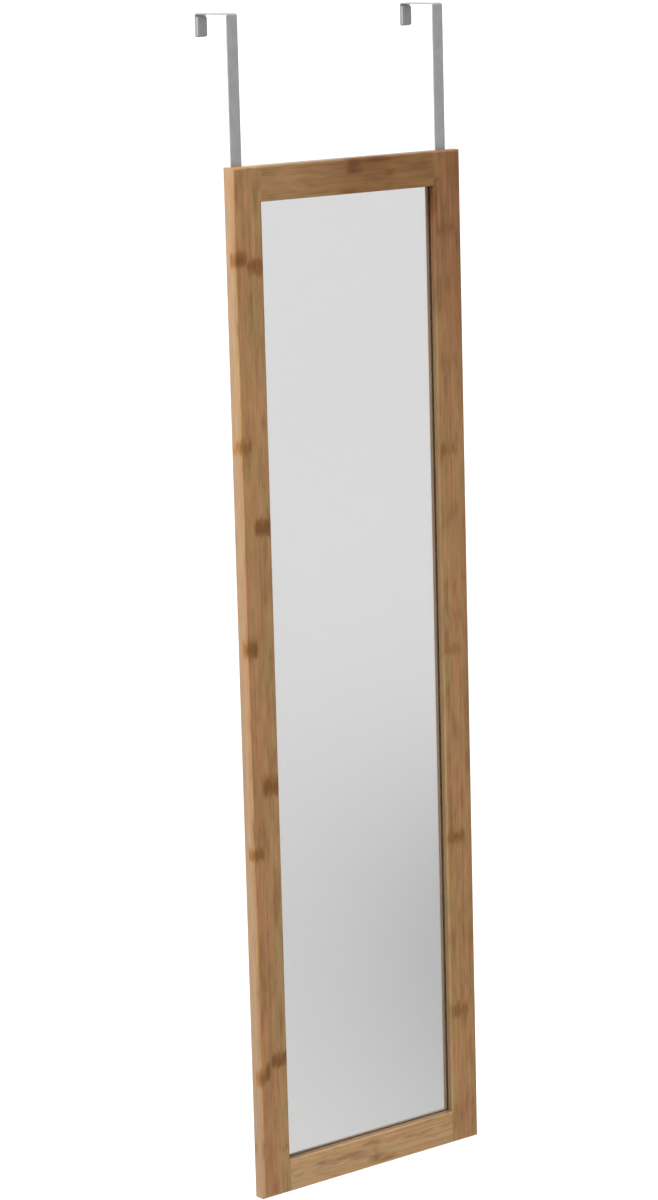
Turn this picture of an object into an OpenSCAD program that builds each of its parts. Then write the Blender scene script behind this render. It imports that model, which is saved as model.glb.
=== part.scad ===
// Over-the-door mirror: a bamboo frame with a rebated mirror pane, hung from two strap hooks.
// Millimetres. +X is to the viewer's right, the mirror faces -Y and +Z is up.
// The origin lies midway between the hooks, on the top front edge of the door:
// the plane y = 0 is the face of the door and the plane z = 0 is its top edge.

/* [Frame] */
// Width of the frame, from outer edge to outer edge
frame_w = 300; // [240:5:450]
// Height of the frame
frame_h = 1100; // [800:10:1500]
// Thickness of the bamboo board that the frame is cut from
frame_t = 15; // [14:0.5:20]
// Width of the stiles and rails, seen from the front
member_w = 37; // [32:1:60]
// Radius worked on the front edges, round the outside and round the opening
front_arris_r = 3; // [0.5:0.25:4]
// Radius worked on the outer back edges
back_arris_r = 0.8; // [0.4:0.1:1.5]

/* [Rebate] */
// Thickness of the lip in front of the glass
lip_t = 6.5; // [4.5:0.25:7]
// Width of the rebate behind the lip
rebate_w = 12.5; // [9:0.5:16]

/* [Mirror pane] */
// Thickness of the glass
glass_t = 3; // [2:0.5:4]
// Thickness of the silver and paint coat on the back of the glass
silvering_t = 0.2; // [0.1:0.05:0.3]
// Clearance between the pane and the rebate, at each side and at the top
pane_clearance = 2; // [0.5:0.25:3]
// Thickness of the double-sided tape between glass and backing
tape_t = 0.8; // [0.5:0.1:1.2]
// Width of one strip of tape
tape_w = 20; // [10:1:30]
// Number of strips of tape
tape_count = 3; // [2:1:5]
// Distance of the tape's ends from the pane's ends
tape_end_margin = 30; // [5:5:80]
// Thickness of the backing board
backing_t = 3; // [2:0.5:4]

/* [Corner dowels] */
// Diameter of a dowel
dowel_d = 6; // [4:0.5:8]
// Length of a dowel, half of it in each member
dowel_len = 30; // [20:1:36]
// Distance between the two dowels of a corner
dowel_pitch = 11; // [9:0.5:14]
// Chamfer at the ends of a dowel
dowel_chamfer = 1; // [0.5:0.25:1.5]
// Glue clearance round a dowel
dowel_clearance = 0.05; // [0.02:0.01:0.2]
// Space past each end of a dowel
dowel_end_space = 0.5; // [0.25:0.25:1.5]

/* [Retaining points] */
// Number of points along each stile
side_points = 5; // [2:1:8]
// Number of points along each rail
end_points = 2; // [2:1:3]
// Distance from a stile's ends to the first and last point
side_point_margin = 140; // [125:5:200]
// Distance from a rail's ends to the first and last point
end_point_margin = 52.5; // [40:2.5:70]
// Width of a point
point_w = 6; // [4:0.5:9]
// Length of a point
point_len = 15; // [10:0.5:20]
// Length of a point that is driven into the wood
point_embed = 5; // [4:0.5:6]
// Length of a point's tip
point_tip = 3; // [2:0.5:4]
// Chamfer at the corners of a point's tongue
point_ease = 1; // [0.5:0.25:1.5]
// Thickness of a point
point_t = 0.4; // [0.3:0.05:0.6]
// Clearance of a point in its kerf
kerf_clearance = 0.05; // [0.02:0.01:0.1]

/* [Hooks] */
// Width of the strap
strap_w = 13.5; // [10:0.5:16]
// Thickness of the strap
strap_t = 1.5; // [1:0.25:2]
// Height of the door's top edge above the frame
hook_drop = 152; // [60:2:220]
// Space between the strap and the tab behind the door
hook_gap = 52; // [38:1:60]
// Depth of the tab below the door's top edge
tab_drop = 23; // [16:1:45]
// Inner radius of the bends
bend_r = 1.5; // [1:0.25:3]
// Radius of the tab's lower corners
tab_corner_r = 2; // [1:0.5:4]
// Clearance between the strap and the sides of its channel
channel_clearance = 0.25; // [0.1:0.05:0.5]
// Wood left between the channel and the rebate
channel_wall = 1.75; // [1:0.25:4]

/* [Hook screws] */
// Diameter of the screw's shank
screw_d = 3; // [2.5:0.5:3.5]
// Diameter of the countersunk head
screw_head_d = 6; // [5.5:0.5:7]
// Length of the screw over its head
screw_len = 10; // [8:0.5:11]
// Length of the screw's point
screw_tip = 2.5; // [1:0.5:4]
// Distance from the rail to the first screw below it
screw_below_rail = 6; // [4:1:12]
// Distance between the two screws of a hook
screw_pitch = 26; // [18:1:60]
// Distance from the last screw to the strap's end
strap_end_margin = 9; // [7.5:0.5:15]
// Clearance round a screw in strap and wood
screw_clearance = 0.1; // [0.05:0.05:0.3]

/* [Pads and bumpers] */
// Width of the foam pad on a tab
pad_w = 12; // [8:0.5:16]
// Height of the foam pad
pad_h = 20; // [10:1:40]
// Thickness of the foam pad
pad_t = 3; // [1.5:0.5:4]
// Radius of the foam pad's corners
pad_corner_r = 1.5; // [0.5:0.5:3]
// Diameter of a bumper at its base
bumper_d = 10; // [6:1:16]
// Height of a bumper
bumper_t = 2; // [1:0.5:4]
// Rounding at a bumper's rim
bumper_rim_r = 1; // [0.5:0.25:1]
// Height of a bumper's centre above the frame's bottom edge
bumper_up = 18; // [10:1:60]

/* [Hidden] */

$fn = 48;
over = 1; // overrun of a cut past the face that it opens

// The frame
band_w = member_w - rebate_w; // full-thickness part of a member
rail_len = frame_w - 2 * member_w;
opening_h = frame_h - 2 * member_w;
frame_top = -hook_drop;
frame_bottom = frame_top - frame_h;
frame_middle = frame_top - frame_h / 2;
dowel_places = [for (s = [-1, 1]) (band_w + s * dowel_pitch) / 2]; // from a member's outer edge
dowel_reach = dowel_len / 2 + dowel_end_space;

// The pane stands on the bottom rail's rebate, with its spare height at the top
pane_w = frame_w - 2 * (band_w + pane_clearance);
pane_h = frame_h - 2 * band_w - pane_clearance;
pane_bottom = frame_bottom + band_w;
glass_y = lip_t - frame_t;
silvering_y = glass_y + glass_t;
tape_y = silvering_y + silvering_t;
backing_y = tape_y + tape_t;
backing_back_y = backing_y + backing_t;
tape_pitch = (pane_w - 2 * tape_w) / (tape_count - 1);

// Retaining points: heights up a stile from its foot, and along a rail from its left end
side_point_step = (frame_h - 2 * side_point_margin) / (side_points - 1);
side_point_heights = [for (i = [0 : side_points - 1]) side_point_margin + i * side_point_step];
end_point_step = (rail_len - 2 * end_point_margin) / (end_points - 1);
end_point_heights = [for (i = [0 : end_points - 1]) end_point_margin + i * end_point_step];

// The hooks
channel_w = strap_w + 2 * channel_clearance;
strap_u = band_w - channel_wall - channel_w / 2; // strap's middle, from the stile's outer edge
strap_x = frame_w / 2 - strap_u;
screw_drops = [for (i = [0, 1]) member_w + screw_below_rail + i * screw_pitch];
strap_tail = screw_drops[1] + strap_end_margin;
channel_len = strap_tail + channel_clearance;
strap_end_z = frame_top - strap_tail;
bend_outer_r = bend_r + strap_t;
head_h = (screw_head_d - screw_d) / 2; // a 90 degree countersink

// Colours
bamboo = [0.61, 0.46, 0.32];
beech = [0.80, 0.66, 0.48];
zinc = [0.62, 0.62, 0.63];

// ---------------------------------------------------------------- helpers

// Waste that leaves a quarter round on a corner at the origin, for material in +X +Y
module corner_waste(r) {
  difference() {
    translate([-over, -over])
      square(r + over);
    translate([r, r])
      circle(r);
  }
}

// Turns what stands up along +Z so that it lies along +X, with its X as its height
module lay_down() {
  mirror([1, 0, -1])
    children();
}

// What is drawn at z = 0, and its mirror image at the other end of a length
module both_ends(length) {
  children();
  translate([0, 0, length])
    mirror([0, 0, 1])
      children();
}

// What is drawn left of the middle, and its mirror image to the right
module both_sides() {
  children();
  mirror([1, 0, 0])
    children();
}

// A section in XY that runs up from z = 0
module run(length) {
  linear_extrude(height = length)
    children();
}

// A plate outline drawn in X and Z, with its back face on y and its thickness towards -Y
module plate(y, thickness) {
  translate([0, y, 0])
    rotate([90, 0, 0])
      linear_extrude(height = thickness)
        children();
}

// ---------------------------------------------------------------- frame members

// Waste of the two outer edges of a side that stands at x = 0
module outer_edge_waste() {
  translate([0, -frame_t])
    corner_waste(front_arris_r);
  mirror([0, 1])
    corner_waste(back_arris_r);
}

// Waste of the front edge along the opening, for a member whose inner face is at x
module opening_edge_waste(x) {
  translate([x, -frame_t])
    mirror([1, 0])
      corner_waste(front_arris_r);
}

// Section of a member: X from its outer edge to the opening, Y from front to back
module member_section() {
  difference() {
    translate([0, -frame_t])
      square([member_w, frame_t]);
    outer_edge_waste();
  }
}

// Section of the rebate, behind the lip
module rebate_waste() {
  translate([band_w, glass_y])
    square([rebate_w + over, frame_t]);
}

// A dowel's bore, up from z = 0, at a height across the member
module dowel_bores() {
  for (x = dowel_places)
    translate([x, -frame_t / 2, -dowel_reach])
      cylinder(h = 2 * dowel_reach, d = dowel_d + 2 * dowel_clearance);
}

// The kerf of a retaining point, cut into the rebate's wall at a height
module point_kerf(height) {
  reach = point_embed + kerf_clearance;
  opening = point_w + 2 * kerf_clearance;
  translate([band_w - reach, backing_back_y - kerf_clearance, height - opening / 2])
    cube([reach + over, point_t + 2 * kerf_clearance, opening]);
}

// The strap's channel, open at the stile's top, and the pilot holes in its floor
module strap_channel() {
  plate(strap_t, 2 * strap_t)
    translate([strap_u, frame_h]) {
      translate([-channel_w / 2, channel_w / 2 - channel_len])
        square([channel_w, channel_len]);
      translate([0, channel_w / 2 - channel_len])
        circle(d = channel_w);
    }
  for (drop = screw_drops)
    translate([strap_u, 0, frame_h - drop])
      rotate([90, 0, 0])
        cylinder(h = screw_len + screw_clearance, d = screw_d + 2 * screw_clearance);
}

// A stile that stands on z = 0, with its outer edge at x = 0. The rails butt against its inner side,
// so its rebate stops at their full-thickness bands and its eased front edge at their front edges.
module stile() {
  difference() {
    run(frame_h)
      member_section();
    translate([0, 0, band_w])
      run(frame_h - 2 * band_w)
        rebate_waste();
    translate([0, 0, member_w])
      run(opening_h)
        opening_edge_waste(member_w);
    both_ends(frame_h) {
      mitre_waste();
      translate([-over, 0, 0])
        lay_down()
          run(member_w + 2 * over)
            outer_edge_waste();
      translate([member_w, 0, 0])
        lay_down()
          dowel_bores();
    }
    for (height = side_point_heights)
      point_kerf(height);
    strap_channel();
  }
}

// A rail, drawn standing like a stile: it lies down when it is placed
module standing_rail() {
  difference() {
    run(rail_len)
      member_section();
    translate([0, 0, -over])
      run(rail_len + 2 * over) {
        rebate_waste();
        opening_edge_waste(member_w);
      }
    both_ends(rail_len)
      dowel_bores();
    for (height = end_point_heights)
      point_kerf(height);
  }
}

// Where two eased edges of the opening meet they end in a mitre, and its waste lies in the stile
module mitre_waste() {
  intersection() {
    run(member_w + over)
      opening_edge_waste(member_w);
    lay_down()
      run(member_w + over)
        opening_edge_waste(member_w);
  }
}

module place_stile() {
  translate([-frame_w / 2, 0, frame_bottom])
    stile();
}

module place_rail() {
  translate([-rail_len / 2, 0, -frame_h / 2])
    lay_down()
      standing_rail();
}

module left_stile() {
  color(bamboo)
    place_stile();
}

module right_stile() {
  color(bamboo)
    mirror([1, 0, 0])
      place_stile();
}

module bottom_rail() {
  color(bamboo)
    translate([0, 0, frame_middle])
      place_rail();
}

module top_rail() {
  color(bamboo)
    translate([0, 0, frame_middle])
      mirror([0, 0, 1])
        place_rail();
}

// ---------------------------------------------------------------- corner dowels

// A dowel about the Z axis, centred on the origin
module dowel() {
  r = dowel_d / 2;
  half = dowel_len / 2;
  rotate_extrude()
    polygon([
      [0, -half], [r - dowel_chamfer, -half], [r, dowel_chamfer - half],
      [r, half - dowel_chamfer], [r - dowel_chamfer, half], [0, half]
    ]);
}

// The dowels of the bottom left corner, from the middle of the frame's height
module corner_dowels() {
  color(beech)
    translate([member_w - frame_w / 2, -frame_t / 2, -frame_h / 2])
      for (height = dowel_places)
        translate([0, 0, height])
          rotate([0, 90, 0])
            dowel();
}

module bottom_left_dowels() {
  translate([0, 0, frame_middle])
    corner_dowels();
}

module bottom_right_dowels() {
  mirror([1, 0, 0])
    bottom_left_dowels();
}

module top_left_dowels() {
  translate([0, 0, frame_middle])
    mirror([0, 0, 1])
      corner_dowels();
}

module top_right_dowels() {
  mirror([1, 0, 0])
    top_left_dowels();
}

// ---------------------------------------------------------------- mirror pane

// A layer of the pane: its front face on y
module pane_layer(y, thickness) {
  translate([-pane_w / 2, y, pane_bottom])
    cube([pane_w, thickness, pane_h]);
}

module mirror_glass() {
  color([0.78, 0.84, 0.82])
    pane_layer(glass_y, glass_t);
}

module mirror_silvering() {
  color([0.55, 0.57, 0.58])
    pane_layer(silvering_y, silvering_t);
}

module mounting_tape() {
  color([0.93, 0.93, 0.9])
    for (i = [0 : tape_count - 1])
      translate([tape_w / 2 - pane_w / 2 + i * tape_pitch, tape_y, pane_bottom + tape_end_margin])
        cube([tape_w, tape_t, pane_h - 2 * tape_end_margin]);
}

module backing_board() {
  color([0.47, 0.35, 0.25])
    pane_layer(backing_y, backing_t);
}

// A point on the rebate's wall at x = 0: its tip is in the wood and its tongue on the backing
module retaining_point() {
  half = point_w / 2;
  tongue = point_len - point_embed;
  plate(backing_back_y + point_t, point_t)
    polygon([
      [-point_embed, 0], [point_tip - point_embed, -half], [tongue - point_ease, -half],
      [tongue, point_ease - half], [tongue, half - point_ease], [tongue - point_ease, half],
      [point_tip - point_embed, half]
    ]);
}

module retaining_points() {
  color(zinc) {
    both_sides()
      translate([band_w - frame_w / 2, 0, frame_bottom])
        for (height = side_point_heights)
          translate([0, 0, height])
            retaining_point();
    translate([-rail_len / 2, 0, frame_bottom])
      both_ends(frame_h)
        lay_down()
          for (height = end_point_heights)
            translate([band_w, 0, height])
              retaining_point();
  }
}

// ---------------------------------------------------------------- hooks

// A quarter ring of the strip, about a bend's centre, in the quadrant +X +Y
module strip_bend() {
  difference() {
    intersection() {
      circle(bend_outer_r);
      square(bend_outer_r);
    }
    circle(bend_r);
  }
}

// The bent strip seen from the side: X is depth, Y is height
module strip_section() {
  translate([-strap_t, strap_end_z])
    square([strap_t, -bend_r - strap_end_z]);
  translate([bend_r, -bend_r])
    mirror([1, 0])
      strip_bend();
  translate([bend_r, 0])
    square([hook_gap - 2 * bend_r, strap_t]);
  translate([hook_gap - bend_r, -bend_r])
    strip_bend();
  translate([hook_gap, -tab_drop])
    square([strap_t, tab_drop - bend_r]);
}

// The countersunk hole for a hook screw, from the strap's back face
module countersink() {
  rotate([90, 0, 0]) {
    translate([0, 0, -over])
      cylinder(h = over, d = screw_head_d + 2 * screw_clearance);
    cylinder(h = head_h, d1 = screw_head_d + 2 * screw_clearance, d2 = screw_d + 2 * screw_clearance);
    cylinder(h = strap_t + over, d = screw_d + 2 * screw_clearance);
  }
}

// A hook, on the middle of its strap
module hook() {
  difference() {
    translate([-strap_w / 2, 0, 0])
      rotate([90, 0, 90])
        linear_extrude(height = strap_w)
          strip_section();
    // the strap's end is a half round
    plate(over, strap_t + 2 * over)
      difference() {
        translate([-strap_w / 2 - over, strap_end_z - over])
          square([strap_w + 2 * over, strap_w / 2 + over]);
        translate([0, strap_end_z + strap_w / 2])
          circle(d = strap_w);
      }
    both_sides()
      plate(hook_gap + strap_t + over, strap_t + 2 * over)
        translate([-strap_w / 2, -tab_drop])
          corner_waste(tab_corner_r);
    for (drop = screw_drops)
      translate([0, 0, frame_top - drop])
        countersink();
  }
}

module hook_screws() {
  for (drop = screw_drops)
    translate([0, 0, frame_top - drop])
      rotate([90, 0, 0])
        rotate_extrude()
          polygon([
            [0, 0], [screw_head_d / 2, 0], [screw_d / 2, head_h],
            [screw_d / 2, screw_len - screw_tip], [0, screw_len]
          ]);
}

module hook_pad() {
  plate(hook_gap, pad_t)
    translate([0, -tab_drop / 2 - bend_r / 2]) {
      square([pad_w - 2 * pad_corner_r, pad_h], center = true);
      square([pad_w, pad_h - 2 * pad_corner_r], center = true);
      for (sx = [-1, 1], sy = [-1, 1])
        translate([sx * (pad_w / 2 - pad_corner_r), sy * (pad_h / 2 - pad_corner_r)])
          circle(pad_corner_r);
    }
}

module left_hook() {
  color(zinc)
    translate([-strap_x, 0, 0])
      hook();
}

module right_hook() {
  color(zinc)
    translate([strap_x, 0, 0])
      hook();
}

module left_hook_screws() {
  color(zinc)
    translate([-strap_x, 0, 0])
      hook_screws();
}

module right_hook_screws() {
  color(zinc)
    translate([strap_x, 0, 0])
      hook_screws();
}

module left_hook_pad() {
  color([0.3, 0.3, 0.31])
    translate([-strap_x, 0, 0])
      hook_pad();
}

module right_hook_pad() {
  color([0.3, 0.3, 0.31])
    translate([strap_x, 0, 0])
      hook_pad();
}

// ---------------------------------------------------------------- bumpers

// A round bumper stuck on the back of a stile, in the middle of its full-thickness band
module bumper() {
  r = bumper_d / 2;
  translate([band_w / 2 - frame_w / 2, 0, frame_bottom + bumper_up])
    rotate([-90, 0, 0])
      rotate_extrude() {
        square([r - bumper_rim_r, bumper_t]);
        square([r, bumper_t - bumper_rim_r]);
        translate([r - bumper_rim_r, bumper_t - bumper_rim_r])
          intersection() {
            circle(bumper_rim_r);
            square(bumper_rim_r);
          }
      }
}

module left_bumper() {
  color([0.85, 0.86, 0.86])
    bumper();
}

module right_bumper() {
  color([0.85, 0.86, 0.86])
    mirror([1, 0, 0])
      bumper();
}

left_stile();
right_stile();
top_rail();
bottom_rail();
top_left_dowels();
top_right_dowels();
bottom_left_dowels();
bottom_right_dowels();
mirror_glass();
mirror_silvering();
mounting_tape();
backing_board();
retaining_points();
left_hook();
right_hook();
left_hook_screws();
right_hook_screws();
left_hook_pad();
right_hook_pad();
left_bumper();
right_bumper();
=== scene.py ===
"""The looks of an over the door mirror, bamboo, glass and two strap hooks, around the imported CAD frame."""
import math

import bmesh
import bpy
from mathutils import Matrix, Vector


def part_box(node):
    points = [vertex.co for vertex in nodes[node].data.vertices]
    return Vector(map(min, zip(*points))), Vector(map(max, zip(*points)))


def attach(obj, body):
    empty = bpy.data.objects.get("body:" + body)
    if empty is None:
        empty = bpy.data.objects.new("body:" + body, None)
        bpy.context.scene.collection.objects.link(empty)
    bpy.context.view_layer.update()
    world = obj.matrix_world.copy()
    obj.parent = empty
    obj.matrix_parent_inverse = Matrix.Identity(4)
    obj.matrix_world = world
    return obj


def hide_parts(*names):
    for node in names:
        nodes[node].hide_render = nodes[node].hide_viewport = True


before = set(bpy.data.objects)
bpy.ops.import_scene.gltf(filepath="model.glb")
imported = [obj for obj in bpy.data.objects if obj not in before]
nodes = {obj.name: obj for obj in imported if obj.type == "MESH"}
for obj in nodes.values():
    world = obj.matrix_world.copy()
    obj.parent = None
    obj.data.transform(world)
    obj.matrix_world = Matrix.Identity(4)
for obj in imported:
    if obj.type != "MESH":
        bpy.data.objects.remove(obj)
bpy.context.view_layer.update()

MM = 0.001
BODY = "root"
# Points nearer than this are one point.
WELD = 0.001 * MM

# ---------------------------------------------------------------- places taken from the frame

FRAME_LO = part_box("left_stile")[0]
FRAME_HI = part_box("right_stile")[1]
FRONT = FRAME_LO.y
FRAME_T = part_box("bottom_rail")[1].y - FRONT
FRAME_W = FRAME_HI.x - FRAME_LO.x
FRAME_H = FRAME_HI.z - FRAME_LO.z
FRAME_MIDDLE = Vector(((FRAME_LO.x + FRAME_HI.x) / 2, FRONT, (FRAME_LO.z + FRAME_HI.z) / 2))

# ---------------------------------------------------------------- the photograph's camera

IMAGE_HEIGHT_PX = 1200
FOCAL_PX = 3535.8
SENSOR_MM = 36.0
CAMERA_AZIMUTH = math.radians(-37.571)
CAMERA_ELEVATION = math.radians(11.340)
CAMERA_ROLL = math.radians(-1.533)
# Where the middle of the frame's front face stands in the camera's own axes.
MIDDLE_RIGHT = 0.03467
MIDDLE_UP = -0.08207
MIDDLE_AHEAD = 3.7661


# ---------------------------------------------------------------- nodes


def tone(code):
    """An sRGB hex colour as linear RGBA."""
    channels = [int(code[i : i + 2], 16) / 255 for i in (1, 3, 5)]
    linear = [c / 12.92 if c <= 0.04045 else ((c + 0.055) / 1.055) ** 2.4 for c in channels]
    return (*linear, 1.0)


def add(tree, kind, *values, named=None, **settings):
    """Adds a node with its settings, and fills the sockets that they leave open, in order or by name.

    A value that is a socket is linked, and so is a node, by its first open output.
    """
    node = tree.nodes.new(kind)
    for setting, value in settings.items():
        setattr(node, setting, value)
    sockets = [socket for socket in node.inputs if socket.enabled]
    filled = list(zip(sockets, values))
    filled += [(node.inputs[name], value) for name, value in (named or {}).items()]
    for socket, value in filled:
        if isinstance(value, bpy.types.Node):
            value = next(output for output in value.outputs if output.enabled)
        if isinstance(value, bpy.types.NodeSocket):
            tree.links.new(value, socket)
        elif value is not None:
            socket.default_value = value
    return node


def begin_finish(name):
    """A new material with an empty tree, and its Object coordinates."""
    material = bpy.data.materials.new(name)
    material.use_nodes = True
    tree = material.node_tree
    tree.nodes.clear()
    place = add(tree, "ShaderNodeTexCoord").outputs["Object"]
    return material, tree, place


# ---------------------------------------------------------------- bamboo

PLIES = 2
PLY_MM = FRAME_T / MM / PLIES
# The back ply's seams stand this far from the front ply's, so that no glue line runs through.
SEAM_STAGGER_MM = 6.0
# Each strip takes its pattern from another place, up to this far away.
STRIP_SHIFT_MM = 90.0
# Fibres darker and lighter than their strip, a smudge from rim to core for cane nodes and painted shadow, a
# sanded edge partly painted with sheen, and raw cane painted pale with painted light.
STREAK = "#84552F"
FIBRE_LIGHT = "#CC9C6A"
FIBRE_DARK = "#6B4522"
SMUDGE_RIM = "#94601F"
SMUDGE_CORE = "#704304"
EDGE_GRAIN_AND_SHEEN = "#7B664D"
RAW_CANE_AND_PAINTED_LIGHT = "#EBD3A8"
# A cane node, and a painted shadow drawn like one: how dark it is along the grain, at distances in shares of
# its reach.
CANE_NODE_PROFILE = ((-1.0, 0.0), (-0.6, 0.55), (-0.25, 1.0), (0.1, 1.0), (0.5, 0.5), (1.0, 0.0))
# Across the grain it fades over this far at each side, and along it the fibres carry it to and fro.
NODE_FADE_MM = 2.0
NODE_WANDER_MM = 16.0
# The depths between which the back ply's nodes give way to the front ply's.
PLY_CHANGE_MM = (PLY_MM - 2.0, PLY_MM + 1.5)
# A face that is turned to the front or back, but lies deeper than this from both, is inside the rebate.
REBATE_DEEP_MM = 2.0


def cane_nodes_and_painted_shade(tree, across, level, length, strips):
    """The dark smudges of one ply: for each stretch across it, their places with their strength and reach."""
    share = add(tree, "ShaderNodeMath", level, length, operation="DIVIDE")
    smudges = 0.0
    for low, high, places in strips:
        lookup = add(tree, "ShaderNodeValToRGB", share)
        stops = lookup.color_ramp.elements
        for stop in stops:
            stop.color = (0.0, 0.0, 0.0, 1.0)
        for height, strength, reach in places:
            for offset, dark in CANE_NODE_PROFILE:
                stops.new((height + offset * reach) / length).color = (*(dark * strength,) * 3, 1.0)
        enter = add(tree, "ShaderNodeMapRange", across, low - NODE_FADE_MM, low + NODE_FADE_MM, 0.0, 1.0)
        leave = add(tree, "ShaderNodeMapRange", across, high - NODE_FADE_MM, high + NODE_FADE_MM, 1.0, 0.0)
        inside = add(tree, "ShaderNodeMath", enter, leave, operation="MULTIPLY")
        smudges = add(tree, "ShaderNodeMath", inside, lookup, smudges, operation="MULTIPLY_ADD")
    return smudges


def laminated_bamboo(name, turn, start, length, grounds, strips, behind, seed, drifts=()):
    """Carbonised bamboo: flat strips pressed in two plies, sanded and satin lacquered.

    The eye sees strips that differ in tone, straight fibres, and a brown smudge where each cane had a node,
    one of them painted shadow.
    In the board's own millimetres X runs in from its outer edge, Y is the depth and Z follows the grain.
    """
    material, tree, place = begin_finish(name)
    in_mm = add(tree, "ShaderNodeMapping", place, start, turn, (1 / MM,) * 3)
    board = add(tree, "ShaderNodeSeparateXYZ", in_mm).outputs
    depth = add(tree, "ShaderNodeMath", board["Y"], operation="ABSOLUTE")
    plies = add(tree, "ShaderNodeMath", depth, PLY_MM, operation="DIVIDE")
    ply = add(tree, "ShaderNodeMath", plies, operation="FLOOR")
    under = add(tree, "ShaderNodeMath", PLIES - 1.0, ply, operation="SUBTRACT")
    across = add(tree, "ShaderNodeMath", under, SEAM_STAGGER_MM, board["X"], operation="MULTIPLY_ADD")

    # Which strip a point is in, and how near it is to a glue line between strips or plies.
    strip = 0.0
    gap = length
    (_, *first), *others = grounds
    ground = [tone(code) for code in first]
    for seam, *codes in others:
        beyond = add(tree, "ShaderNodeMath", across, seam, operation="GREATER_THAN")
        strip = add(tree, "ShaderNodeMath", strip, beyond, operation="ADD")
        for number, code in enumerate(codes):
            ground[number] = add(
                tree, "ShaderNodeMix", beyond, ground[number], tone(code), data_type="RGBA"
            )
        aside = add(tree, "ShaderNodeMath", across, seam, operation="SUBTRACT")
        aside = add(tree, "ShaderNodeMath", aside, operation="ABSOLUTE")
        gap = add(tree, "ShaderNodeMath", gap, aside, operation="MINIMUM")
    to_ply = add(tree, "ShaderNodeMath", depth, PLY_MM, operation="PINGPONG")
    gap = add(tree, "ShaderNodeMath", gap, to_ply, operation="MINIMUM")
    glue = add(tree, "ShaderNodeMapRange", gap, 0.1, 0.5, 0.35, 0.0)
    which = add(tree, "ShaderNodeCombineXYZ", strip, ply, seed)
    chance = add(tree, "ShaderNodeTexWhiteNoise", which)
    loose = add(
        tree, "ShaderNodeVectorMath", chance.outputs["Color"], (STRIP_SHIFT_MM,) * 3, in_mm,
        operation="MULTIPLY_ADD",
    )

    # Bands of colour, fibres under 1 mm wide, and the short dark marks of fibre bundles, each by its width
    # and run in millimetres and its detail.
    grain = {}
    for pattern, (width, run, detail) in {
        "warmth": (8.0, 48.0, 1.0),
        "depth": (10.0, 40.0, 2.0),
        "streak": (3.0, 200.0, 2.0),
        "fibre": (0.9, 240.0, 3.0),
        "bundle": (0.6, 26.0, 1.0),
        "wander": (5.0, 12.0, 2.0),
    }.items():
        stretched = add(
            tree, "ShaderNodeVectorMath", loose, (1 / width, 1 / width, 1 / run), operation="MULTIPLY"
        )
        grain[pattern] = add(
            tree, "ShaderNodeTexNoise", stretched, named={"Scale": 1.0, "Detail": detail}
        )

    # The front ply's cane nodes are read off the photograph, as are the back ply's where its side shows; one
    # of the front ply's smudges is painted shadow.
    level = add(tree, "ShaderNodeMath", grain["wander"], NODE_WANDER_MM, board["Z"], operation="MULTIPLY_ADD")
    level = add(tree, "ShaderNodeMath", level, NODE_WANDER_MM / 2, operation="SUBTRACT")
    front = cane_nodes_and_painted_shade(tree, board["X"], level, length, strips)
    back = cane_nodes_and_painted_shade(tree, board["X"], level, length, behind)
    in_front = add(tree, "ShaderNodeMapRange", depth, *PLY_CHANGE_MM, 0.0, 1.0)
    node_and_painted_shade = add(tree, "ShaderNodeMix", in_front, back, front)
    fibres = add(tree, "ShaderNodeMapRange", grain["streak"], 0.3, 0.7, 0.65, 1.35)
    node_and_painted_shade = add(tree, "ShaderNodeMath", node_and_painted_shade, fibres, operation="MULTIPLY")
    rim = add(tree, "ShaderNodeMapRange", node_and_painted_shade, 0.0, 0.7, 0.0, 0.65)
    core = add(tree, "ShaderNodeMapRange", node_and_painted_shade, 0.25, 1.1, 0.0, 0.95)

    # The sanded narrow faces show duller, greyer edge grain, partly painted sheen for the pale wash of light
    # on their lacquer, and the ends are darker with cut fibre bundles.
    facing = add(tree, "ShaderNodeNewGeometry").outputs["Normal"]
    turned = add(tree, "ShaderNodeMapping", facing, turn, vector_type="NORMAL")
    turned = add(tree, "ShaderNodeVectorMath", turned, operation="ABSOLUTE")
    turned = add(tree, "ShaderNodeSeparateXYZ", turned).outputs
    edge = add(tree, "ShaderNodeMapRange", turned["X"], 0.45, 0.95, 0.0, 0.7)
    end = add(tree, "ShaderNodeMapRange", turned["Z"], 0.6, 0.9, 0.0, 0.2)

    # Inside the rebate the lacquer stops, and the face that lies on the pane is raw; its pale colour is
    # partly painted light, for the light that reaches under the lip through the glass.
    inside = add(tree, "ShaderNodeMath", depth, PLY_MM, PLY_MM - REBATE_DEEP_MM, operation="COMPARE")
    raw_and_painted_light = add(tree, "ShaderNodeMapRange", turned["Y"], 0.8, 0.95, 0.0, 0.85)
    raw_and_painted_light = add(tree, "ShaderNodeMath", raw_and_painted_light, inside, operation="MULTIPLY")

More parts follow.
